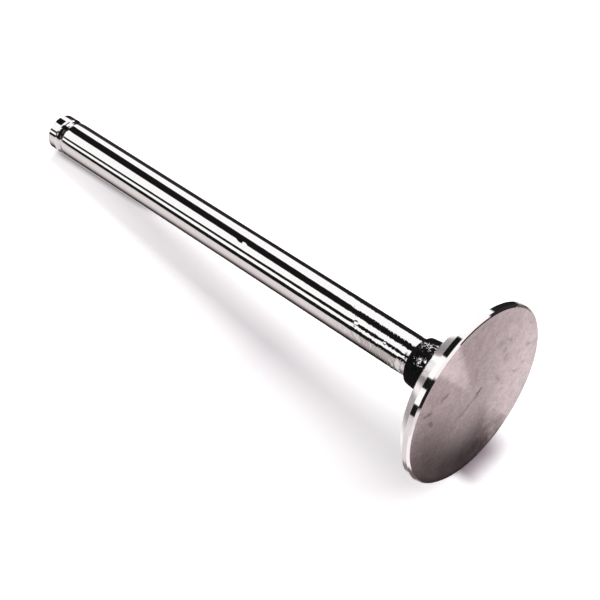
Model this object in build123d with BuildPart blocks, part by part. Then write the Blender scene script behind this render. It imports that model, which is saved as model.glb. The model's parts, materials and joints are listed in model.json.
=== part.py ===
from build123d import *
from math import radians, tan
import os

os.makedirs("parts", exist_ok=True)

# A poppet valve of a diesel engine: one forging, turned and ground all over
# except for its neck and the back of its head. It stands on its flat
# combustion face. The origin is the centre of that face and the stem rises
# along +Z. All sizes are in millimetres.

overall_length = 131.5
head_diameter = 41.0
stem_diameter = 8.96

# Head rim, from the face upwards: edge chamfer, cylindrical margin, seat, back-cut.
# Both angles are measured from the plane of the face.
face_chamfer = 0.45
margin_top = 1.6
seat_inner_diameter = 35.8
seat_angle = 45.0
back_cut_inner_diameter = 32.8
back_cut_angle = 30.0

# As-forged back of the head and neck. The slope is measured from the plane of
# the face, the taper from the axis.
back_slope = 8.0
neck_taper = 7.0
neck_end_diameter = 10.75
neck_end_height = 14.45
neck_fillet = 4.6

# Shoulder where the ground stem runs out into the neck.
shoulder_height = 0.4
shoulder_fillet = 0.38
neck_edge_round = 0.2

# Keeper groove, a round-bottomed ring near the tip.
groove_height = 127.4
groove_width = 2.5
groove_depth = 0.75
groove_edge_round = 0.12

# Chamfer of the hardened tip.
tip_chamfer_length = 0.8
tip_chamfer_depth = 0.5

head_radius = head_diameter / 2
stem_radius = stem_diameter / 2
seat_radius = seat_inner_diameter / 2
back_cut_radius = back_cut_inner_diameter / 2
neck_end_radius = neck_end_diameter / 2

seat_top = margin_top + (head_radius - seat_radius) * tan(radians(seat_angle))
back_cut_top = seat_top + (seat_radius - back_cut_radius) * tan(radians(back_cut_angle))

# The back of the head, z = back_cut_top + (back_cut_radius - r) * slope, meets the
# tapering neck, r = neck_end_radius + (neck_end_height - z) * taper, at its root.
slope = tan(radians(back_slope))
taper = tan(radians(neck_taper))
root_radius = (
    neck_end_radius + (neck_end_height - back_cut_top - back_cut_radius * slope) * taper
) / (1 - slope * taper)
root_height = back_cut_top + (back_cut_radius - root_radius) * slope

shoulder_top = neck_end_height + shoulder_height
tip_radius = stem_radius - tip_chamfer_depth
groove_radius = (groove_width**2 / 4 + groove_depth**2) / (2 * groove_depth)

face_edge = (head_radius - face_chamfer, 0)
margin_bottom = (head_radius, face_chamfer)
margin_edge = (head_radius, margin_top)
seat_edge = (seat_radius, seat_top)
back_cut_edge = (back_cut_radius, back_cut_top)
neck_root = (root_radius, root_height)
neck_end = (neck_end_radius, neck_end_height)
shoulder_end = (stem_radius, shoulder_top)
tip_shoulder = (stem_radius, overall_length - tip_chamfer_length)
tip_edge = (tip_radius, overall_length)
groove_lower_edge = (stem_radius, groove_height - groove_width / 2)
groove_upper_edge = (stem_radius, groove_height + groove_width / 2)

with BuildPart() as valve:
    # Half section of the whole valve, from its axis outwards.
    with BuildSketch(Plane.XZ) as section:
        with BuildLine():
            Polyline((0, 0), face_edge, margin_bottom, margin_edge, seat_edge, back_cut_edge)
            Polyline(back_cut_edge, neck_root, neck_end, shoulder_end)
            Polyline(shoulder_end, tip_shoulder, tip_edge, (0, overall_length), (0, 0))
        make_face()
        # The keeper groove is the arc of a ring pressed into the stem.
        with Locations((stem_radius - groove_depth + groove_radius, groove_height)):
            Circle(groove_radius, mode=Mode.SUBTRACT)
        # Large fillet under the head, small ones at the neck's edge and shoulder.
        fillet(section.vertices().sort_by_distance(neck_root)[0], neck_fillet)
        fillet(section.vertices().sort_by_distance(neck_end)[0], neck_edge_round)
        fillet(section.vertices().sort_by_distance(shoulder_end)[0], shoulder_fillet)
        fillet(section.vertices().sort_by_distance(groove_lower_edge)[0], groove_edge_round)
        fillet(section.vertices().sort_by_distance(groove_upper_edge)[0], groove_edge_round)
    revolve(axis=Axis.Z)

valve.part.label = "valve"
export_step(valve.part, "parts/valve.step")
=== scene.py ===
import json
import math

import bpy
from mathutils import Matrix, Vector, noise


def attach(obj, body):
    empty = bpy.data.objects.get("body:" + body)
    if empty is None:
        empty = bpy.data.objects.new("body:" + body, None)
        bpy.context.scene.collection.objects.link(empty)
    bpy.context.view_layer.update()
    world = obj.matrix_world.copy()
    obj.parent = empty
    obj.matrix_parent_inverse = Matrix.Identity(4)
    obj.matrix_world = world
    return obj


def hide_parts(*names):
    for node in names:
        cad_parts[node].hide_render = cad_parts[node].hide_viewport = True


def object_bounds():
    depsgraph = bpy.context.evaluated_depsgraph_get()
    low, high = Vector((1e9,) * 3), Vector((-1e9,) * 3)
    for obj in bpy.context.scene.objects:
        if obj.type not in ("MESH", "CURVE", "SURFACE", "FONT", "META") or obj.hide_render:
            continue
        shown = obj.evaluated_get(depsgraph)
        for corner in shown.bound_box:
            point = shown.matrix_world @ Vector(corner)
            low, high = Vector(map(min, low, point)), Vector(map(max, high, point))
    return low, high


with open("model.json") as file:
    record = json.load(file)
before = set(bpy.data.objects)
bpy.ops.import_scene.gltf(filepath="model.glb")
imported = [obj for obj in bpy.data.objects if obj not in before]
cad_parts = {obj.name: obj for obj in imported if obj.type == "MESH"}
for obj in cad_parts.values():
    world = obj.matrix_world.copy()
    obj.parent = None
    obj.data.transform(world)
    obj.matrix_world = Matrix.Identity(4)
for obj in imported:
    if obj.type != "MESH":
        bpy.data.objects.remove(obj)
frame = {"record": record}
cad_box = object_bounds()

# An engine valve. In the frame it stands on its head, with the stem along +Z.
# In the photograph it lies on its rim and its tip, so here the camera and the
# floor lean instead of the valve. Sizes and places are in millimetres, angles
# in degrees. A turn is an angle about the stem, from -Y towards +X.
MM = 0.001

# ------------------------------------------------------------------ camera
RIGHT = Vector((0.69239, 0.08885, -0.71603))
UP = Vector((0.56791, -0.67925, 0.46487))
BACK = Vector((-0.44505, -0.72851, -0.52076))
EYE = Vector((-132.436, -211.138, -105.526))
LENS = 80.974

# The turn of the side that the photograph shows, with the directions across
# the stem that point to that side and, in the picture, up the face.
FACING = round(math.degrees(math.atan2(EYE.x, -EYE.y)), 1)
TOWARD = Vector((math.sin(math.radians(FACING)), -math.cos(math.radians(FACING)), 0.0))
UPWARD = Vector((math.cos(math.radians(FACING)), math.sin(math.radians(FACING)), 0.0))


def place_camera():
    camera = bpy.data.objects.new("camera", bpy.data.cameras.new("camera"))
    camera.data.sensor_width = 36.0
    camera.data.lens = LENS
    camera.data.clip_start = 0.01
    camera.data.clip_end = 20.0
    camera.matrix_world = Matrix.Translation(EYE * MM) @ Matrix((RIGHT, UP, BACK)).transposed().to_4x4()
    bpy.context.scene.collection.objects.link(camera)
    bpy.context.scene.camera = camera


# ------------------------------------------------------------------ sizes
mounts = {mount["name"]: mount for mount in frame["record"]["mounts"]}
LENGTH = round(cad_box[1].z / MM, 3)
HEAD_R = round(cad_box[1].x / MM, 3)
STEM_R = mounts["stem"]["dims"]["r_mm"]
GROOVE_Z = round(mounts["keeper_groove"]["pos_m"][2] / MM, 3)

# Head: edge chamfer, margin, 45 degree seat and 30 degree back-cut.
CHAMFER = 0.45
CHAMFER_START = HEAD_R - CHAMFER - 0.05
CHAMFER_MIDDLE = 0.28
MARGIN_TOP = 1.6
SEAT_R = 17.9
SEAT_TOP = MARGIN_TOP + (HEAD_R - SEAT_R)
BACKCUT_R = 16.4
BACKCUT_TOP = SEAT_TOP + (SEAT_R - BACKCUT_R) * math.tan(math.radians(30))

# Forged back and neck, which meet at the root, and the shoulder of the stem. The
# back would meet the axis at its peak.
BACK_SLOPE = math.tan(math.radians(8))
NECK_TAPER = math.tan(math.radians(7))
NECK_R = 5.375
NECK_Z = 14.45
BACK_PEAK = BACKCUT_TOP + BACKCUT_R * BACK_SLOPE
ROOT_R = (NECK_R + (NECK_Z - BACK_PEAK) * NECK_TAPER) / (1 - BACK_SLOPE * NECK_TAPER)
ROOT_Z = BACK_PEAK - ROOT_R * BACK_SLOPE
ROOT_FILLET = 4.6
SHOULDER_Z = NECK_Z + 0.4
SHOULDER_ROUND = 0.2
SHOULDER_FILLET = 0.38

# Keeper groove and tip.
GROOVE_W = 2.5
GROOVE_D = 0.75
GROOVE_R = (GROOVE_W ** 2 / 4 + GROOVE_D ** 2) / (2 * GROOVE_D)
GROOVE_STEPS = 16
GROOVE_LIP = 0.4
TIP_LENGTH = 0.45
TIP_DEPTH = 0.4

# ------------------------------------------------------------------ the valve's mesh
# The half section runs from the face's centre to the tip's. Each ring is its
# radius, its height, the finish from it to the next ring, and whether it is sharp.
FACE, EDGE, MARGIN, SEAT, FORGED, STEM, TIP = range(7)
SEGMENTS = 288
section = []


def add_rings(points, finish, sharp=False):
    """Only the first of the rings may be sharp."""
    for index, (radius, height) in enumerate(points):
        section.append((radius, height, finish, sharp and index == 0))


def add_run(start, end, steps, finish, sharp=False):
    """Evenly spaced rings from the start to just before the end."""
    points = []
    for index in range(steps):
        share = index / steps
        points.append((start[0] + (end[0] - start[0]) * share, start[1] + (end[1] - start[1]) * share))
    add_rings(points, finish, sharp)


def fillet(before, corner, after, radius, steps):
    """The points of a round at a corner of the half section."""
    before, corner, after = Vector(before), Vector(corner), Vector(after)
    back, ahead = (before - corner).normalized(), (after - corner).normalized()
    half = back.angle(ahead) / 2
    reach = radius / math.tan(half)
    centre = corner + (back + ahead).normalized() * (radius / math.sin(half))
    first = corner + back * reach - centre
    sweep = first.angle_signed(corner + ahead * reach - centre)
    points = []
    for index in range(steps + 1):
        c, s = math.cos(-sweep * index / steps), math.sin(-sweep * index / steps)
        points.append((centre.x + c * first.x - s * first.y, centre.y + s * first.x + c * first.y))
    return points


def draw_head():
    """The ground head, from its face to the end of the back-cut."""
    margin_foot, margin_top = (HEAD_R, CHAMFER), (HEAD_R, MARGIN_TOP)
    seat_end, backcut_end = (SEAT_R, SEAT_TOP), (BACKCUT_R, BACKCUT_TOP)
    add_run((0.0, 0.0), (CHAMFER_START, 0.0), 30, FACE)
    add_rings([(CHAMFER_START, 0.0)], EDGE, True)
    add_rings([(HEAD_R - CHAMFER_MIDDLE, CHAMFER - CHAMFER_MIDDLE)], EDGE, True)
    add_run(margin_foot, margin_top, 4, MARGIN, True)
    add_run(margin_top, seat_end, 8, SEAT, True)
    add_run(seat_end, backcut_end, 4, SEAT, True)


def draw_neck():
    """The forged back and neck. Returns where the root's round and the foot of the stem end."""
    backcut_end, root = (BACKCUT_R, BACKCUT_TOP), (ROOT_R, ROOT_Z)
    neck_end, shoulder = (NECK_R, NECK_Z), (STEM_R, SHOULDER_Z)
    root_round = fillet(backcut_end, root, neck_end, ROOT_FILLET, 26)
    crown = fillet(root, neck_end, shoulder, SHOULDER_ROUND, 4)
    foot = fillet(neck_end, shoulder, (STEM_R, GROOVE_Z), SHOULDER_FILLET, 6)
    add_run(backcut_end, root_round[0], 26, FORGED, True)
    add_rings(root_round[:-1], FORGED)
    add_run(root_round[-1], crown[0], 34, FORGED)
    add_rings(crown, FORGED)
    add_rings(foot[:-1], FORGED, True)
    return root_round[-1], foot[-1]


def draw_stem(foot):
    """The ground stem, the keeper groove with its rounded lower lip, and the tip."""
    half_angle = math.asin(GROOVE_W / 2 / GROOVE_R)
    bowl = []
    for index in range(GROOVE_STEPS + 1):
        angle = half_angle * (2 * index / GROOVE_STEPS - 1)
        radius = STEM_R - GROOVE_D + GROOVE_R * (1 - math.cos(angle))
        bowl.append((radius, GROOVE_Z + GROOVE_R * math.sin(angle)))
    lip = fillet((STEM_R, SHOULDER_Z), (STEM_R, GROOVE_Z - GROOVE_W / 2), bowl[1], GROOVE_LIP, 6)
    land_top, tip_edge = (STEM_R, LENGTH - TIP_LENGTH), (STEM_R - TIP_DEPTH, LENGTH)
    add_run(foot, lip[0], 60, STEM, True)
    add_rings(lip, STEM)
    add_rings(bowl[2:-1], STEM)
    add_run(bowl[-1], land_top, 3, STEM, True)
    add_run(land_top, tip_edge, 2, STEM, True)
    add_run(tip_edge, (0.0, LENGTH), 5, TIP, True)
    add_rings([(0.0, LENGTH)], TIP)


# The noise in the as-forged skin: each layer's height, scale and shift along Z.
SKIN_LAYERS = [(0.05, 0.55, 0.0), (0.035, 2.1, 7.0), (0.02, 5.2, 19.0)]


def forged_skin(point):
    """How far the as-forged skin stands out of the true form."""
    lift = 0.0
    for height, scale, shift in SKIN_LAYERS:
        lift += height * noise.noise(point * scale + Vector((0.0, 0.0, shift)))
    return lift


def with_skin(radius, height, c, s, root_end):
    """A forged ring's radius and height at one turn. The skin fades out at both ends of the forging."""
    fade = min(1.0, max(0.0, (BACKCUT_R - 0.2 - radius) / 0.8))
    fade *= min(1.0, max(0.0, (NECK_Z - 0.05 - height) / 0.35))
    lift = forged_skin(Vector((radius * c, radius * s, height))) * fade
    outward = 1.0 if height > root_end[1] else 0.5
    return radius + lift * outward, height + lift * (1.0 - outward)


def turn_rings(root_end):
    """The vertices of all the rings, and for each ring the numbers of its own."""
    vertices, rings = [], []
    for radius, height, finish, _ in section:
        on_axis = radius < 1e-9
        rings.append(range(len(vertices), len(vertices) + (1 if on_axis else SEGMENTS)))
        for segment in range(len(rings[-1])):
            c, s = math.cos(2 * math.pi * segment / SEGMENTS), math.sin(2 * math.pi * segment / SEGMENTS)
            r, z = with_skin(radius, height, c, s, root_end) if finish == FORGED else (radius, height)
            vertices.append((r * c * MM, r * s * MM, z * MM))
    return vertices, rings


def faces_between(lower, upper):
    """The faces from one ring to the next. A ring on the axis is one vertex."""
    faces = []
    for segment in range(SEGMENTS):
        after = (segment + 1) % SEGMENTS
        if len(lower) == 1:
            faces.append((lower[0], upper[after], upper[segment]))
        elif len(upper) == 1:
            faces.append((lower[segment], lower[after], upper[0]))
        else:
            faces.append((lower[segment], lower[after], upper[after], upper[segment]))
    return faces


def make_body():
    """The whole valve as one closed mesh."""
    draw_head()
    root_end, foot = draw_neck()
    draw_stem(foot)
    vertices, rings = turn_rings(root_end)
    faces, finishes, sharp_ring = [], [], {}
    for number, (_, _, finish, sharp) in enumerate(section):
        if sharp:
            sharp_ring.update(dict.fromkeys(rings[number], number))
        if number + 1 < len(section):
            faces += faces_between(rings[number], rings[number + 1])
            finishes += [finish] * SEGMENTS

    mesh = bpy.data.meshes.new("valve_body")
    mesh.from_pydata(vertices, [], faces)
    mesh.update()
    mesh.polygons.foreach_set("material_index", finishes)
    mesh.polygons.foreach_set("use_smooth", [True] * len(faces))
    for edge in mesh.edges:
        a, b = edge.vertices
        edge.use_edge_sharp = a in sharp_ring and sharp_ring[a] == sharp_ring.get(b)
    body = bpy.data.objects.new("valve_body", mesh)
    bpy.context.scene.collection.objects.link(body)
    return body


# ------------------------------------------------------------------ node helpers
class Nodes:
    """A short way to write shader nodes: a call makes one node or a few and returns the output."""

    def __init__(self, owner):
        owner.use_nodes = True
        self.tree = owner.node_tree
        self.tree.nodes.clear()

    def new(self, kind, **settings):
        node = self.tree.nodes.new(kind)
        for key, value in settings.items():
            setattr(node, key, value)
        return node

    def put(self, socket, value):
        if isinstance(value, bpy.types.NodeSocket):
            self.tree.links.new(value, socket)
        else:
            socket.default_value = value

    def fill(self, node, *values):
        for socket, value in zip(node.inputs, values):
            self.put(socket, value)
        return node.outputs[0]

    def fill_named(self, node, **values):
        for name, value in values.items():
            self.put(node.inputs[name], value)
        return node.outputs[0]

    def end(self, kind, shader):
        """The output node of a material or of the world."""
        self.put(self.new(kind).inputs[0], shader)

    def math(self, operation, *values, clamp=False):
        return self.fill(self.new("ShaderNodeMath", operation=operation, use_clamp=clamp), *values)

    def chain(self, operation, first, *others):
        for other in others:
            first = self.math(operation, first, other)
        return first

    def add(self, *values):
        return self.chain("ADD", *values)

    def multiply(self, *values):
        return self.chain("MULTIPLY", *values)

    def highest(self, *values):
        return self.chain("MAXIMUM", *values)

    def subtract(self, a, b):
        return self.math("SUBTRACT", a, b)

    def rest(self, value):
        """What is left of 1."""
        return self.math("SUBTRACT", 1.0, value, clamp=True)

    def size(self, value):
        return self.math("ABSOLUTE", value)

    def length(self, a, b):
        return self.math("SQRT", self.add(self.multiply(a, a), self.multiply(b, b)))

    def turn(self, x, y):
        """The turn about the stem of a place or a direction."""
        return self.multiply(self.math("ARCTAN2", x, self.multiply(y, -1.0)), math.degrees(1.0))

    def vector(self, operation, *values):
        return self.fill(self.new("ShaderNodeVectorMath", operation=operation), *values)

    def dot(self, a, b):
        node = self.new("ShaderNodeVectorMath", operation="DOT_PRODUCT")
        self.fill(node, a, tuple(b))
        return node.outputs["Value"]

    def scaled(self, a, scale):
        node = self.new("ShaderNodeVectorMath", operation="SCALE")
        self.put(node.inputs["Scale"], scale)
        return self.fill(node, a)

    def parts(self, vector):
        node = self.new("ShaderNodeSeparateXYZ")
        self.fill(node, vector)
        return tuple(node.outputs)

    def joined(self, x, y):
        return self.fill(self.new("ShaderNodeCombineXYZ"), x, y)

    def smooth(self, value, low, high, a=0.0, b=1.0):
        node = self.new("ShaderNodeMapRange", interpolation_type="SMOOTHSTEP")
        return self.fill(node, value, low, high, a, b)

    def linear(self, value, low, high, a=0.0, b=1.0):
        return self.fill(self.new("ShaderNodeMapRange"), value, low, high, a, b)

    def mix(self, factor, a, b):
        node = self.new("ShaderNodeMix", data_type="RGBA")
        self.put(node.inputs["Factor"], factor)
        for socket, colour in zip(node.inputs[6:8], (a, b)):
            self.put(socket, (*colour, 1.0) if isinstance(colour, tuple) else colour)
        return node.outputs[2]

    def ramp(self, value, stops):
        """A colour that follows a value. A stop is the value and a colour or a grey there."""
        low, high = stops[0][0], stops[-1][0]
        node = self.new("ShaderNodeValToRGB")
        elements = node.color_ramp.elements
        elements.remove(elements[-1])
        for index, (at, colour) in enumerate(stops):
            position = (at - low) / (high - low)
            element = elements.new(position) if index else elements[0]
            element.position = position
            element.color = (*colour, 1.0) if isinstance(colour, tuple) else (colour, colour, colour, 1.0)
        return self.fill(node, self.linear(value, low, high))

    def noise(self, vector, scale, detail=2.0, roughness=0.5, distortion=0.0):
        node = self.new("ShaderNodeTexNoise")
        return self.fill_named(
            node, Vector=vector, Scale=scale, Detail=detail, Roughness=roughness, Distortion=distortion
        )

    def uneven(self, amount, *noise):
        """Noise about 0."""
        return self.multiply(self.subtract(self.noise(*noise), 0.5), amount)

    def bump(self, height, strength, distance):
        node = self.new("ShaderNodeBump")
        return self.fill_named(node, Height=height, Strength=strength, Distance=distance)

    def spot(self, u, v, centre, size, turn=0.0):
        """1 at the middle of an oval mark, 0 past its edge."""
        c, s = math.cos(math.radians(turn)), math.sin(math.radians(turn))
        du, dv = self.subtract(u, centre[0]), self.subtract(v, centre[1])
        lengthwise = self.add(self.multiply(du, c), self.multiply(dv, s))
        sideways = self.subtract(self.multiply(dv, c), self.multiply(du, s))
        distance = self.length(
            self.math("DIVIDE", lengthwise, size[0]), self.math("DIVIDE", sideways, size[1])
        )
        return self.smooth(distance, 1.0, 0.15)

    def object_place(self):
        """The place on the valve, as a vector and as its three parts."""
        place = self.scaled(self.new("ShaderNodeTexCoord").outputs["Object"], 1 / MM)
        return (place, *self.parts(place))


# ------------------------------------------------------------------ materials
FACE_STEEL = (0.56, 0.44, 0.455)
CHAMFER_STEEL = (0.93, 0.9, 0.9)
MARGIN_STEEL = (0.95, 0.93, 0.93)
SEAT_STEEL = (0.93, 0.9, 0.9)
SCALE_BLACK = (0.006, 0.0055, 0.0055)
SCALE_ROUGHNESS = 0.5
BARE_STEEL = (1.0, 0.98, 0.98)
SPECK_ROUGHNESS = 0.2
CHROME = (0.93, 0.91, 0.91)
TIP_STEEL = (0.8, 0.78, 0.79)

# Stains and scratches on the face. Each is its place from the centre, across
# the picture and up it, then half its length and width, its slant and its tone.
FACE_MARKS = [
    ((-0.1, 1.0), (1.7, 0.7), 80, -0.9),
    ((-0.4, -1.6), (2.6, 0.7), 72, -0.43),
    ((-12.2, -3.4), (2.0, 1.0), 70, -0.5),
    ((-14.5, -8.0), (2.2, 0.8), 35, -0.54),
    ((-11.1, -9.2), (1.8, 0.8), 10, -0.47),
    ((-1.3, 13.2), (3.2, 0.8), 5, -0.25),
    ((-0.2, 10.9), (1.3, 1.1), 0, -0.29),
    ((7.9, 14.8), (1.7, 0.6), 15, -0.36),
    ((9.3, 8.6), (2.0, 0.6), 8, -0.32),
    ((10.5, 11.2), (1.6, 0.6), 5, -0.29),
    ((4.3, 5.4), (2.2, 0.6), 0, -0.29),
    ((-4.9, -2.1), (2.0, 0.35), -32, 0.29),
    ((-3.2, -2.6), (1.4, 0.3), -35, 0.22),
    ((7.6, 4.6), (3.0, 0.5), 20, 0.18),
    ((-1.4, -4.6), (3.4, 1.3), 65, -0.29),
    ((-5.5, 3.6), (3.0, 0.9), -35, -0.18),
    ((-3.0, 11.5), (2.6, 1.6), 20, -0.18),
    ((2.5, 9.5), (2.0, 1.2), -30, -0.18),
]

# Where the neck's scale is worn: height and turn, then half the height and turn it covers.
WORN_PATCHES = [
    ((12.3, 1.5), (3.0, 19.0)),
    ((11.9, -32.0), (2.3, 17.0)),
    ((10.4, 8.0), (1.6, 18.0)),
    ((9.0, -12.0), (1.2, 14.0)),
]

# Dents in the stem: height and turn from FACING, then half the length and width, and the slope.
STEM_DENTS = [
    ((63.7, 11), (1.0, 0.9), 0.1),
    ((65.2, 10), (1.2, 0.9), -0.1),
    ((31.6, 24), (1.7, 0.8), -0.05),
    ((29.4, -9), (0.9, 0.8), -0.13),
    ((21.3, -9), (0.6, 0.6), 0.09),
    ((16.2, -30), (1.5, 3.0), 0.05),
]
PLATING_END = 30.6


def metal(body, name, colour, roughness, anisotropic=0.0):
    """A bare metal. Where it is anisotropic, its grinding lines run around the axis."""
    material = bpy.data.materials.new(name)
    body.data.materials.append(material)
    n = Nodes(material)
    shader = n.new("ShaderNodeBsdfPrincipled")
    n.end("ShaderNodeOutputMaterial", shader.outputs[0])
    n.put(shader.inputs["Base Color"], (*colour, 1.0))
    n.put(shader.inputs["Roughness"], roughness)
    n.put(shader.inputs["Metallic"], 1.0)
    if anisotropic:
        around = n.new("ShaderNodeTangent", direction_type="RADIAL", axis="Z")
        n.put(shader.inputs["Anisotropic"], anisotropic)
        n.put(shader.inputs["Anisotropic Rotation"], 0.25)
        n.put(shader.inputs["Tangent"], around.outputs[0])
    return n, shader


def ground_face(body):
    """The flat face, with mottling, flecks, faint grinding rings, marks and pits."""
    n, shader = metal(body, "ground_face", FACE_STEEL, roughness=0.065, anisotropic=0.8)
    place, x, y, _ = n.object_place()
    mottling = n.add(n.uneven(0.7, place, 0.35, 4.0, 0.6, 0.4), n.uneven(0.75, place, 1.5, 3.0, 0.65))
    fleck = n.noise(place, 1.9, 2.0, 0.6, 0.8)
    flecks = n.subtract(n.smooth(fleck, 0.6, 0.68), n.smooth(fleck, 0.38, 0.3))
    flecks = n.multiply(flecks, 0.17, n.smooth(n.noise(place, 0.22, 1.0), 0.42, 0.58))
    round_the_axis = n.joined(n.multiply(n.length(x, y), 6.0), n.multiply(n.math("ARCTAN2", y, x), 1.6))
    tone = n.add(mottling, flecks, n.uneven(0.12, round_the_axis, 1.0))

    wander = n.uneven(2.2, place, 0.9, 3.0, 0.6)
    across = n.add(n.dot(place, -TOWARD), wander)
    up = n.subtract(n.dot(place, UPWARD), wander)
    for centre, size, slant, strength in FACE_MARKS:
        tone = n.add(tone, n.multiply(n.spot(across, up, centre, size, slant), strength))

    pit = n.fill_named(n.new("ShaderNodeTexVoronoi"), Vector=place, Scale=0.8)
    pits = n.multiply(n.smooth(pit, 0.16, 0.06), n.smooth(n.noise(place, 0.25, 1.0), 0.5, 0.62), 0.3)
    tone = n.subtract(tone, pits)
    n.put(shader.inputs["Base Color"], n.scaled(FACE_STEEL, n.add(tone, 1.0)))
    n.put(shader.inputs["Normal"], n.bump(n.noise(place, 1.1, 3.0, 0.6), 0.12, 0.06 * MM))


def forged_scale(body):
    """Black forging scale, broken by bright specks where it is worn."""
    n, shader = metal(body, "forged_scale", SCALE_BLACK, SCALE_ROUGHNESS)
    place, x, y, z = n.object_place()
    turn = n.turn(x, y)
    worn = n.highest(*[n.spot(z, turn, centre, size) for centre, size in WORN_PATCHES])
    grain = n.add(n.noise(place, 1.5, 2.0, 0.6, 0.7), n.multiply(worn, 0.11))
    specks = n.multiply(n.smooth(grain, 0.61, 0.625), n.smooth(worn, 0.05, 0.35))
    n.put(shader.inputs["Base Color"], n.mix(specks, SCALE_BLACK, BARE_STEEL))
    n.put(shader.inputs["Roughness"], n.linear(specks, 0.0, 1.0, SCALE_ROUGHNESS, SPECK_ROUGHNESS))
    n.put(shader.inputs["Metallic"], specks)
    n.put(shader.inputs["Specular IOR Level"], 0.05)
    n.put(shader.inputs["Normal"], n.bump(n.noise(place, 1.3), 1.0, 0.45 * MM))


def stem_relief(n, place, z, arc):
    """The unevenness in mm: waves that weaken towards the tip, a ragged end of the plating, and dents."""
    waves = n.multiply(n.noise(place, 0.5), n.smooth(z, 70.0, 20.0, 0.008, 0.022))
    past_plating = n.subtract(n.subtract(z, PLATING_END), n.multiply(arc, 0.8))
    border = n.smooth(n.size(past_plating), 1.4, 0.2)
    below = n.smooth(past_plating, 1.0, -1.0)
    fine_height = n.add(n.multiply(border, 0.006), n.multiply(below, 0.004))
    fine = n.multiply(n.noise(place, 2.2, 3.0, 0.6), fine_height)
    coarse = n.multiply(n.noise(place, 1.1), below, 0.024)
    relief = n.add(waves, fine, coarse)
    for (height, turn), size, slope in STEM_DENTS:
        middle = math.radians(turn) * STEM_R
        dent = n.spot(z, arc, (height, middle), size)
        relief = n.add(relief, n.multiply(dent, n.subtract(arc, middle), slope))
    return relief


def chromed_stem(body):
    """Polished plating with faint rings, and painted shade in the groove on the seen side."""
    n, shader = metal(body, "chromed_stem", CHROME, roughness=0.035)
    place, x, y, z = n.object_place()
    arc = n.multiply(n.subtract(n.turn(x, y), FACING), math.radians(1.0) * STEM_R)
    n.put(shader.inputs["Normal"], n.bump(stem_relief(n, place, z, arc), 1.0, MM))
    streaks = n.noise(n.joined(n.multiply(z, 2.4), n.multiply(arc, 0.35)), 1.0, 3.0, 0.65)
    polish = n.linear(streaks, 0.3, 0.7, 0.945, 1.03)
    above = n.subtract(z, GROOVE_Z)
    # The groove's head-side wall and bottom are darkened on the seen side only: painted shade.
    foot = n.smooth(n.add(above, n.smooth(arc, 0.0, 0.9, 0.0, 0.75)), -1.05, -0.65)
    sides = n.multiply(n.smooth(arc, -2.0, -1.7), n.smooth(arc, 2.3, 1.7))
    groove_painted_shade = n.multiply(foot, n.smooth(above, 0.5, 0.1), sides)
    n.put(shader.inputs["Base Color"], n.scaled(CHROME, n.multiply(polish, n.rest(n.multiply(groove_painted_shade, 0.97)))))


def dress(body):
    """The finishes, in the order of FACE to TIP."""
    ground_face(body)
    metal(body, "edge_break", CHAMFER_STEEL, roughness=0.05)
    metal(body, "ground_margin", MARGIN_STEEL, roughness=0.06)
    metal(body, "ground_seat", SEAT_STEEL, roughness=0.14, anisotropic=0.9)
    forged_scale(body)
    chromed_stem(body)
    metal(body, "ground_tip", TIP_STEEL, roughness=0.2)


# ------------------------------------------------------------------ floor
# The floor touches the rim's upper edge and the stem at the tip's chamfer, so it
# leans in the valve's frame. A place on it is how far across, along +X, and how
# far along the valve it is from where the rim touches.
TIP_CONTACT = 0.8
FLOOR_TILT = math.atan((HEAD_R - STEM_R) / (LENGTH - TIP_CONTACT - MARGIN_TOP))
ACROSS = Vector((1.0, 0.0, 0.0))
ALONG = Vector((0.0, -math.sin(FLOOR_TILT), math.cos(FLOOR_TILT)))
NORMAL = Vector((0.0, -math.cos(FLOOR_TILT), -math.sin(FLOOR_TILT)))
FLOOR_GAP = 0.02
CONTACT = Vector((0.0, HEAD_R + FLOOR_GAP, MARGIN_TOP))
FLOOR_REACH = 1200.0

PAPER = (0.93, 0.925, 0.935)
# The colour of the painted contact shadow.
PAINTED_SHADOW = (0.19, 0.12, 0.16)

# How strongly the floor glows to the camera, by the place along it: uneven painted light, lowest midway, so
# that the lamp's shadow shows deeper there than near the head and the tip.
FLOOR_GLOW = [
    (-20.0, 0.44), (13.6, 0.4), (30.4, 0.34), (50.0, 0.28), (69.6, 0.37), (94.8, 0.47), (120.0, 0.6),
]


def floor_place(across, along, lift=0.0):
    """A place on or above the floor, in metres."""
    return (CONTACT + ACROSS * across + ALONG * along + NORMAL * lift) * MM


def make_sheet(name, low, high, lift=0.0):
    """A rectangle that lies along the floor and faces the valve."""
    mesh = bpy.data.meshes.new(name)
    corners = [low, (high[0], low[1]), high, (low[0], high[1])]
    mesh.from_pydata([floor_place(across, along, lift) for across, along in corners], [], [(0, 1, 2, 3)])
    mesh.update()
    sheet = bpy.data.objects.new(name, mesh)
    bpy.context.scene.collection.objects.link(sheet)
    return sheet


def contact_shade(n, across, along):
    """Painted contact shadow: how dark the floor is painted where the rim stands on it and where the tip
    touches it.
    """
    rim = n.multiply(n.smooth(along, -8.0, -1.0, 0.0, 0.93), n.smooth(along, 3.0, 1.0))
    rim = n.multiply(rim, n.smooth(across, -7.8, -3.6), n.smooth(across, 12.0, 2.0))
    beside = n.add(across, n.multiply(n.subtract(along, 98.7), 0.084))
    tip = n.multiply(n.math("POWER", n.linear(beside, -1.9, -0.3), 1.5), 0.66)
    tip = n.multiply(tip, n.smooth(along, 95.0, 103.0), n.smooth(along, 133.0, 128.0))
    tip = n.multiply(tip, n.smooth(across, 5.0, 1.5))
    return n.highest(rim, tip)


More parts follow.
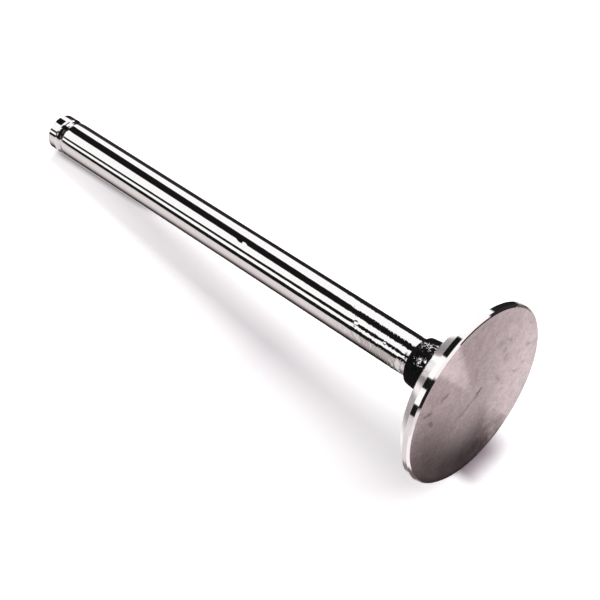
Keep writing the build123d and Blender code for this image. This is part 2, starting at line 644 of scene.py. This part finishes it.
def floor_white(floor):
    """Paper that glows white to the camera, less so under the valve as painted shade, with a painted contact
    shadow where the rim and the tip touch it, and clear from behind.
    """
    material = bpy.data.materials.new("floor_white")
    floor.data.materials.append(material)
    n = Nodes(material)
    geometry = n.new("ShaderNodeNewGeometry")
    place = n.vector("SUBTRACT", n.scaled(geometry.outputs["Position"], 1 / MM), tuple(CONTACT))
    across, along = n.dot(place, ACROSS), n.dot(place, ALONG)
    shade = contact_shade(n, across, along)
    # Painted shade: the floor's glow dims under the stem.
    under_stem = n.multiply(n.smooth(n.size(across), 7.0, 0.0), n.smooth(along, 45.0, 85.0), 0.3)
    white = n.multiply(n.ramp(along, FLOOR_GLOW), n.rest(under_stem), n.rest(shade))
    seen = n.multiply(white, n.new("ShaderNodeLightPath").outputs["Is Camera Ray"])
    glow = n.fill(n.new("ShaderNodeEmission"), seen)
    matt = n.fill(n.new("ShaderNodeBsdfDiffuse"), n.mix(n.multiply(shade, 0.9), PAPER, PAINTED_SHADOW))
    paper = n.fill(n.new("ShaderNodeAddShader"), matt, glow)
    clear = n.new("ShaderNodeBsdfTransparent").outputs[0]
    sided = n.fill(n.new("ShaderNodeMixShader"), geometry.outputs["Backfacing"], paper, clear)
    n.end("ShaderNodeOutputMaterial", sided)


# ------------------------------------------------------------------ world
# What the metal mirrors is a studio of long strips that run beside the stem.
# Only glossy rays see it. A direction has a turn, and a drop: its angle from +Z.
# To the photograph's viewpoint the stem shows drops from 46 at the tip to
# FOOT_DROP, the margin shows MARGIN_DROP to 67, and the groove less and more.
FOOT_DROP = 63.8
MARGIN_DROP = 64.5

# A strip's border, as (drop, turn) knots with straight runs between them.
FLAG_HIGH = ((44, 43), (50, 35), (54, 29), (60, 22), (FOOT_DROP, 19), (MARGIN_DROP, 14))
FLAG_LOW = ((44, -2), (50, -7.5), (60, -14), (FOOT_DROP, -17), (MARGIN_DROP, -14))
SEAM_HIGH = ((46, -51), (54, -47), (60, -43), (FOOT_DROP, -43), (MARGIN_DROP, -42))
SEAM_LOW = ((46, -63), (54, -60), (FOOT_DROP, -60), (MARGIN_DROP, -55.5))
BRINK_HIGH = ((46, -75.5), (54, -76.5), (FOOT_DROP, -76.5), (MARGIN_DROP, -75.5))
BRINK_LOW = ((46, -91), (50, -95), (54, -98), (60, -99), (FOOT_DROP, -96), (MARGIN_DROP, -90))
FAR_SIDE = (
    (53.5, 72.5), (55.5, 75.5), (60.2, 75.5), (60.4, 72.5), (FOOT_DROP, 72.5),
    (64.4, 69), (66, 69), (70, 58), (90, 58), (95, 80),
)

WHITE = (1.0, 1.0, 1.0)
STRIP_WHITE = (1.06, 1.06, 1.06)
FAR_BLACK = (0.009, 0.0085, 0.0085)
TIP_BLACK = (0.034, 0.031, 0.032)
FOOT_BLACK = (0.016, 0.014, 0.0145)
SHEET_SHADE = (0.58, 0.56, 0.56)
OUTER_GREY = (0.74, 0.69, 0.69)
BACK_GREY = (0.24, 0.21, 0.21)
OVERHEAD_GREY = (0.72, 0.69, 0.69)
ROOM_GREY = (0.4, 0.365, 0.385)
BEHIND = round(FACING) + 180

# The sheet on the brink's lower side: its brightness by the turn.
SIDE_SHEET = [
    (-181.0, (0.012, 0.01, 0.01)),
    (-166.44, (0.035, 0.03, 0.03)),
    (-150.06, (0.3, 0.27, 0.265)),
    (-140.96, (0.58, 0.53, 0.525)),
    (-126.4, (0.76, 0.705, 0.7)),
    (-108.2, (0.79, 0.745, 0.745)),
    (-90.0, (0.66, 0.62, 0.62)),
]

# Brightness by the swing, for the two halves of the chamfer, which start alike, and for the seat.
# The swing is the sine of how far a surface is turned from FACING.
CHAMFER_GLOW = [
    (-1.0, 0.02), (-0.92, 0.02), (-0.9, (0.86, 0.8, 0.82)), (-0.44, (0.84, 0.79, 0.8)),
    (-0.38, 0.012), (-0.09, 0.012), (-0.05, 1.0),
]
INNER_CHAMFER = CHAMFER_GLOW + [
    (0.33, 1.0), (0.35, (0.03, 0.02, 0.02)), (0.966, (0.03, 0.02, 0.02)), (0.984, 0.35),
]
OUTER_CHAMFER = CHAMFER_GLOW + [(0.71, 1.05), (0.73, 0.02), (0.966, 0.03), (0.984, 0.5)]
SEAT_GLOW = [
    (-1.0, 1.0), (-0.8, (0.98, 0.96, 0.96)), (-0.6, (0.45, 0.41, 0.41)), (-0.5, (0.39, 0.36, 0.36)),
    (-0.38, (0.2, 0.18, 0.18)), (-0.35, (0.4, 0.37, 0.37)), (-0.3, (0.92, 0.88, 0.88)),
    (-0.25, (0.84, 0.81, 0.81)), (-0.19, (0.25, 0.23, 0.23)), (-0.13, (0.2, 0.18, 0.18)),
    (-0.09, (0.5, 0.48, 0.48)), (-0.06, 1.2), (0.11, 1.2), (0.156, (0.38, 0.35, 0.35)),
    (0.18, (0.24, 0.22, 0.22)), (0.24, (0.16, 0.15, 0.15)), (0.38, (0.2, 0.19, 0.19)),
    (0.444, 1.0), (0.97, 1.0), (0.984, 0.1),
]


class Studio(Nodes):
    """The world's nodes, with the ways of saying where a ray goes: theta and drop, or lean and swing."""

    def __init__(self, world):
        super().__init__(world)
        ray = self.new("ShaderNodeTexCoord").outputs["Generated"]
        x, y, z = self.parts(ray)
        self.theta = self.turn(x, y)
        self.drop = self.multiply(self.math("ARCCOSINE", z), math.degrees(1.0))

        # Which bevel shows a direction to the photograph's viewpoint follows from the
        # normal halfway between the two: how far it leans up, and its swing.
        half_way = self.vector("NORMALIZE", self.vector("ADD", ray, tuple(EYE.normalized())))
        x, y, z = self.parts(half_way)
        self.lean = self.multiply(self.math("ARCSINE", z), math.degrees(1.0))
        from_facing = self.subtract(self.turn(x, y), FACING)
        self.swing = self.math("SINE", self.multiply(from_facing, math.radians(1.0)))

    def border(self, knots):
        turn = knots[0][1]
        for (drop, here), (next_drop, there) in zip(knots, knots[1:]):
            turn = self.add(self.linear(self.drop, drop, next_drop, 0.0, there - here), turn)
        return turn

    def past(self, border, soft=0.8):
        """1 on the higher side of a border."""
        return self.smooth(self.subtract(self.theta, border), -soft, soft)

    def before(self, border, soft=0.8):
        return self.rest(self.past(border, soft))

    def between(self, low, high, soft=0.8):
        return self.multiply(self.past(low, soft), self.before(high, soft))


def dark_strips(n, far_side, brink_low, past_foot):
    """Where the strips beside the stem are dark."""
    flag = n.between(n.border(FLAG_LOW), n.border(FLAG_HIGH))
    seam = n.between(n.border(SEAM_LOW), n.border(SEAM_HIGH))
    brink = n.between(brink_low, n.border(BRINK_HIGH))
    beyond = n.multiply(past_foot, n.past(121.0, 5.0))
    side = n.math("SUBTRACT", n.past(far_side, 1.5), beyond, clamp=True)

    # Below the strips are a wide dark patch, which ends higher on its one side, and a
    # small one beside it.
    wide_end = n.linear(n.past(-18.0, 6.0), 0.0, 1.0, 133.0, 118.0)
    wide = n.multiply(n.smooth(n.drop, 67.0, 68.5), n.smooth(n.subtract(n.drop, wide_end), 3.0, -3.0))
    wide = n.multiply(wide, n.between(-80.0, 14.0, 2.0))
    small = n.subtract(n.smooth(n.drop, 101.0, 105.0), n.smooth(n.drop, 119.0, 123.0))
    small = n.multiply(small, n.between(0.0, 48.0, 3.0))
    return n.highest(flag, seam, brink, side, wide, small)


def stem_pattern(n):
    """What the stem and the margin mirror: dark strips, white between them, and a sheet that dims behind."""
    far_side, brink_low = n.border(FAR_SIDE), n.border(BRINK_LOW)
    past_foot = n.smooth(n.drop, FOOT_DROP - 0.3, FOOT_DROP + 0.4)
    near_black = n.mix(n.smooth(n.drop, 44.0, 60.0), TIP_BLACK, FOOT_BLACK)
    black = n.mix(n.past(far_side), FAR_BLACK, near_black)

    sheet = n.ramp(n.theta, SIDE_SHEET)
    shaded = n.subtract(n.smooth(n.drop, 59.8, 62.6), n.smooth(n.drop, 64.3, 64.9))
    sheet = n.mix(shaded, sheet, n.vector("MULTIPLY", sheet, SHEET_SHADE))
    light = n.mix(n.past(brink_low), sheet, STRIP_WHITE)
    outer = n.multiply(past_foot, n.highest(n.past(116.0, 5.0), n.before(-120.0, 8.0)))
    light = n.mix(outer, light, OUTER_GREY)
    pattern = n.mix(dark_strips(n, far_side, brink_low, past_foot), light, black)
    return n.mix(n.multiply(past_foot, n.before(-160.0, 6.0)), pattern, BACK_GREY)


def add_chamfer(n, pattern):
    """The light for normals that lean down as the chamfer's do, its inner half further than its outer."""
    outer, inner = n.ramp(n.swing, OUTER_CHAMFER), n.ramp(n.swing, INNER_CHAMFER)
    chamfer = n.mix(n.smooth(n.lean, -47.5, -50.0), outer, inner)
    return n.mix(n.smooth(n.lean, -39.0, -42.0), pattern, chamfer)


def add_overhead(n, pattern):
    """A plain light around +Z."""
    overhead = n.mix(n.past(-80.0, 6.0), OVERHEAD_GREY, WHITE)
    return n.mix(n.smooth(n.drop, 34.0, 29.0), pattern, overhead)


def add_seat(n, pattern):
    """The streaks for normals that lean up as the seat's do, with a glint in the middle of them."""
    glint = n.smooth(n.size(n.subtract(n.swing, 0.02)), 0.13, 0.06, 0.0, 1.7)
    strength = n.add(glint, n.smooth(n.swing, 0.37, 0.43, 1.15, 1.5))
    streaks = n.scaled(n.ramp(n.swing, SEAT_GLOW), strength)
    whole_turn = n.math("MODULO", n.add(n.theta, 360.0), 360.0)
    behind = n.smooth(n.size(n.subtract(whole_turn, BEHIND)), 24.0, 21.0)
    return n.mix(n.multiply(n.smooth(n.lean, 24.0, 30.0), behind), pattern, streaks)


def build_world():
    world = bpy.data.worlds.new("studio")
    bpy.context.scene.world = world
    n = Studio(world)
    pattern = add_seat(n, add_overhead(n, add_chamfer(n, stem_pattern(n))))
    path = n.new("ShaderNodeLightPath")
    plain = n.mix(path.outputs["Is Camera Ray"], ROOM_GREY, WHITE)
    seen = n.mix(path.outputs["Is Glossy Ray"], plain, pattern)
    n.end("ShaderNodeOutputWorld", n.fill(n.new("ShaderNodeBackground"), seen))


# ------------------------------------------------------------------ the card that the face mirrors
# The face looks down on the floor before it, which is dark where the head
# touches it. The card is a painted reflection: a glowing sheet, seen by glossy rays only,
# that carries that view, a fan of painted highlight and shade about the face's centre and
# a painted shade along the rim, as the viewpoint's mirror image sees it.
# Its corners are places on the floor, and it lies just above them.
CARD_LOW = (-60.0, -160.0)
CARD_HIGH = (140.0, -1.75)
CARD_LIFT = 0.6
CARD_STRENGTH = 1.3
CARD_NEUTRAL = 0.82
CARD_CENTRE = 0.54
CARD_RIM_SHADE = (0.02, 0.015, 0.015)
CARD_OUTSIDE = (0.8, 0.75, 0.77)
CARD_OUTSIDE_DARK = (0.12, 0.1, 0.105)

# Painted brightness of the card about the face's centre, by the angle from TOWARD to UPWARD: the highlight
# and shade that the face mirrors.
CARD_FAN = [
    (-180.0, 0.64), (-172.0, 0.46), (-161.0, 0.16), (-148.0, 0.07), (-130.0, 0.058), (-90.0, 0.107),
    (-70.0, 0.15), (-50.0, 0.27), (-30.0, 0.45), (-2.0, 0.55), (1.0, 0.85), (16.5, 0.79),
    (18.5, 0.48), (32.0, 0.48), (90.0, 0.7), (130.0, 0.82), (155.0, 0.84), (180.0, 0.72),
]


def warm(strength):
    """That strength as a colour, redder the further it is below CARD_NEUTRAL."""
    tint = 1.0 - 0.16 * max(0.0, 1.0 - (strength / CARD_NEUTRAL) ** 0.45)
    return (strength, strength * tint, strength * tint)


def place_on_face(n):
    """The place on the face that mirrors a place of the card, and its parts along TOWARD and UPWARD."""
    eye = Vector((EYE.x, EYE.y, -EYE.z))
    place = n.scaled(n.new("ShaderNodeNewGeometry").outputs["Position"], 1 / MM)
    reach = n.math("DIVIDE", eye.z, n.subtract(eye.z, n.parts(place)[2]))
    spot = n.vector("ADD", n.scaled(n.vector("SUBTRACT", place, tuple(eye)), reach), tuple(eye))
    return spot, n.dot(spot, TOWARD), n.dot(spot, UPWARD)


def card_light(card):
    """The painted reflection: a fan of painted highlight and shade about the face's centre, a painted shade
    along a stretch of rim, and what lies past it.
    """
    material = bpy.data.materials.new("face_card")
    card.data.materials.append(material)
    n = Nodes(material)
    spot, toward, upward = place_on_face(n)
    radius = n.length(toward, upward)
    angle = n.multiply(n.math("ARCTAN2", upward, toward), math.degrees(1.0))
    cloud = n.multiply(n.uneven(50.0, spot, 0.16, 3.0, 0.6), n.smooth(toward, 2.0, -6.0))
    fan = n.ramp(n.add(angle, cloud), [(at, warm(strength)) for at, strength in CARD_FAN])
    glow = n.mix(n.smooth(radius, 0.0, 17.0), warm(CARD_CENTRE), fan)
    rim = n.multiply(n.smooth(radius, 18.4, 19.8), n.smooth(toward, 6.0, -2.0))
    rim = n.multiply(rim, n.smooth(upward, 0.0, -5.0), 0.5)
    glow = n.mix(rim, glow, CARD_RIM_SHADE)
    outside = n.mix(n.smooth(toward, 13.0, 6.0), CARD_OUTSIDE, CARD_OUTSIDE_DARK)
    glow = n.mix(n.smooth(radius, 20.4, 21.2), glow, outside)
    n.end("ShaderNodeOutputMaterial", n.fill(n.new("ShaderNodeEmission"), glow, CARD_STRENGTH))


def show_to_glossy_rays_only(sheet):
    sheet.visible_camera = False
    sheet.visible_diffuse = False
    sheet.visible_shadow = False
    sheet.visible_transmission = False
    sheet.visible_volume_scatter = False


# ------------------------------------------------------------------ lamp
# Its place is across, along and above the floor.
LAMP_PLACE = (345.0, -140.0, 550.0)
LAMP_LENGTH = 1300.0
LAMP_WIDTH = 400.0
LAMP_ENERGY = 5.8


def place_lamp():
    """A long strip beside the valve, along its stem: the stem throws a narrow shadow, the head hardly any."""
    strip = bpy.data.lights.new("strip", "AREA")
    strip.shape = "RECTANGLE"
    strip.size = LAMP_LENGTH * MM
    strip.size_y = LAMP_WIDTH * MM
    strip.energy = LAMP_ENERGY
    key = bpy.data.objects.new("strip", strip)
    bpy.context.scene.collection.objects.link(key)
    across, _, height = LAMP_PLACE
    away = (ACROSS * across + NORMAL * height).normalized()
    turn = Matrix((ALONG, away.cross(ALONG), away)).transposed().to_4x4()
    key.matrix_world = Matrix.Translation(floor_place(*LAMP_PLACE)) @ turn
    key.visible_glossy = False


# ------------------------------------------------------------------ the scene
place_camera()

body = make_body()
dress(body)
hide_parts("valve")
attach(body, "root")

floor = make_sheet("floor", (-FLOOR_REACH, -FLOOR_REACH), (FLOOR_REACH, FLOOR_REACH))
floor_white(floor)
floor.visible_glossy = False

card = make_sheet("face_card", CARD_LOW, CARD_HIGH, CARD_LIFT)
card_light(card)
show_to_glossy_rays_only(card)

build_world()
place_lamp()

scene = bpy.context.scene
scene.view_settings.view_transform = "Standard"
